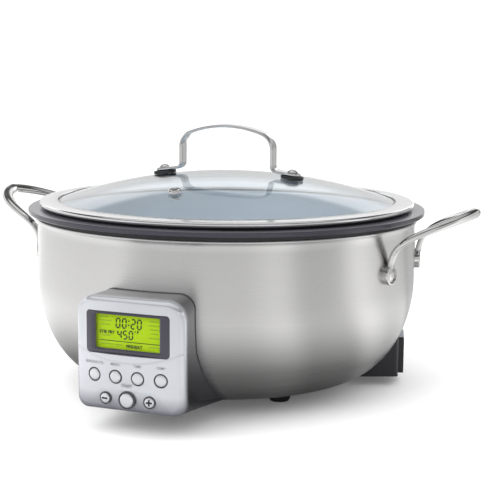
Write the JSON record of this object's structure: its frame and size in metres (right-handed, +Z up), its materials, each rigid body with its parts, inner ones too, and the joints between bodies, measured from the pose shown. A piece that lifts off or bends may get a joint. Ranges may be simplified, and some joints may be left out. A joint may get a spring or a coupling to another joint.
{
  "type": "slow cooker",
  "caption": "Round digital slow cooker: a steel shell on feet with a lift-out pot, domed glass lid, side handles and a push-button display panel.",
  "frame": {"origin": "middle of the overall footprint, on the table under the feet; the pot axis is 13.6 mm behind it", "axes": "+Z up, the control panel faces -Y, the side handles lie along X"},
  "size_m": [0.4406, 0.3671, 0.223],
  "materials": {
    "brushed_shell": "satin",
    "polished_steel": "polished",
    "panel_silver": "satin",
    "button_silver": "satin",
    "bezel_dark": "gloss",
    "display_green": "satin",
    "clear_glass": "clear",
    "clear_lens": "clear",
    "pot_ceramic": "satin",
    "black_rubber": "matte",
    "black_plastic": "satin",
    "white_plastic": "matte",
    "aluminium": "satin",
    "plain_steel": "satin",
    "brass": "polished",
    "circuit_board": "satin",
    "components": "satin",
    "cable": "matte"
  },
  "bodies": {
    "base": {"outer_shell": "brushed_shell", "rim_gasket": "black_rubber", "heat_well": "aluminium", "base_plate": "black_plastic", "base_screws": "plain_steel", "foot_pads": "black_rubber", "foot_screws": "plain_steel", "heating_plate": "aluminium", "heater_element": "plain_steel", "plate_standoffs": "plain_steel", "heat_reflector": "aluminium", "sensor_bracket": "plain_steel", "sensor_spring": "plain_steel", "thermal_fuse": "components", "power_tray": "white_plastic", "power_board": "circuit_board", "power_parts": "components", "heater_leads": "white_plastic", "panel_cable": "cable", "inlet_housing": "black_plastic", "inlet_gasket": "black_rubber", "inlet_socket": "black_plastic", "inlet_trim": "button_silver", "inlet_pins": "brass", "inlet_screws": "plain_steel", "inlet_leads": "cable", "handle_left": "polished_steel", "handle_right": "polished_steel", "handle_rivets": "polished_steel", "control_housing": "panel_silver", "housing_gasket": "black_rubber", "housing_screws": "plain_steel", "display_bezel": "bezel_dark", "display_lens": "clear_lens", "lcd_panel": "display_green", "control_board": "circuit_board", "board_screws": "plain_steel", "button_switches": "black_plastic", "button_rings": "bezel_dark"},
    "pot": {"inner_pot": "pot_ceramic"},
    "lid": {"lid_glass": "clear_glass", "lid_ring": "polished_steel", "lid_seal": "black_rubber", "lid_handle": "polished_steel", "lid_handle_pads": "black_rubber", "lid_handle_screws": "polished_steel", "lid_handle_nuts": "button_silver", "steam_vent": "polished_steel"},
    "sensor": {"thermal_sensor": "aluminium", "sensor_clip": "plain_steel"},
    "button_sear_cap": {"button_sear": "button_silver"},
    "button_menu_cap": {"button_menu": "button_silver"},
    "button_time_cap": {"button_time": "button_silver"},
    "button_temp_cap": {"button_temp": "button_silver"},
    "button_minus_cap": {"button_minus": "button_silver"},
    "button_start_cap": {"button_start": "button_silver"},
    "button_plus_cap": {"button_plus": "button_silver"}
  },
  "joints": [
    {"name": "pot_lift", "type": "slide", "parent": "base", "child": "pot", "axis": [0, 0, 1], "range_m": [0, 0.14]},
    {"name": "lid_lift", "type": "slide", "parent": "pot", "child": "lid", "axis": [0, 0, 1], "range_m": [0, 0.1]},
    {"name": "sensor_press", "type": "slide", "parent": "base", "child": "sensor", "axis": [0, 0, -1], "range_m": [0, 0.0015], "stiffness_N_per_m": 300, "deforming": ["sensor_spring"]},
    {"name": "button_sear_press", "type": "slide", "parent": "base", "child": "button_sear_cap", "axis": [0.1383, 0.9904, 0], "range_m": [0, 0.0008], "stiffness_N_per_m": 1500},
    {"name": "button_menu_press", "type": "slide", "parent": "base", "child": "button_menu_cap", "axis": [0.0462, 0.9989, 0], "range_m": [0, 0.0008], "stiffness_N_per_m": 1500},
    {"name": "button_time_press", "type": "slide", "parent": "base", "child": "button_time_cap", "axis": [-0.0462, 0.9989, 0], "range_m": [0, 0.0008], "stiffness_N_per_m": 1500},
    {"name": "button_temp_press", "type": "slide", "parent": "base", "child": "button_temp_cap", "axis": [-0.1383, 0.9904, 0], "range_m": [0, 0.0008], "stiffness_N_per_m": 1500},
    {"name": "button_minus_press", "type": "slide", "parent": "base", "child": "button_minus_cap", "axis": [0.0924, 0.9957, 0], "range_m": [0, 0.0008], "stiffness_N_per_m": 1500},
    {"name": "button_start_press", "type": "slide", "parent": "base", "child": "button_start_cap", "axis": [0, 1, 0], "range_m": [0, 0.0008], "stiffness_N_per_m": 1500},
    {"name": "button_plus_press", "type": "slide", "parent": "base", "child": "button_plus_cap", "axis": [-0.0924, 0.9957, 0], "range_m": [0, 0.0008], "stiffness_N_per_m": 1500}
  ]
}
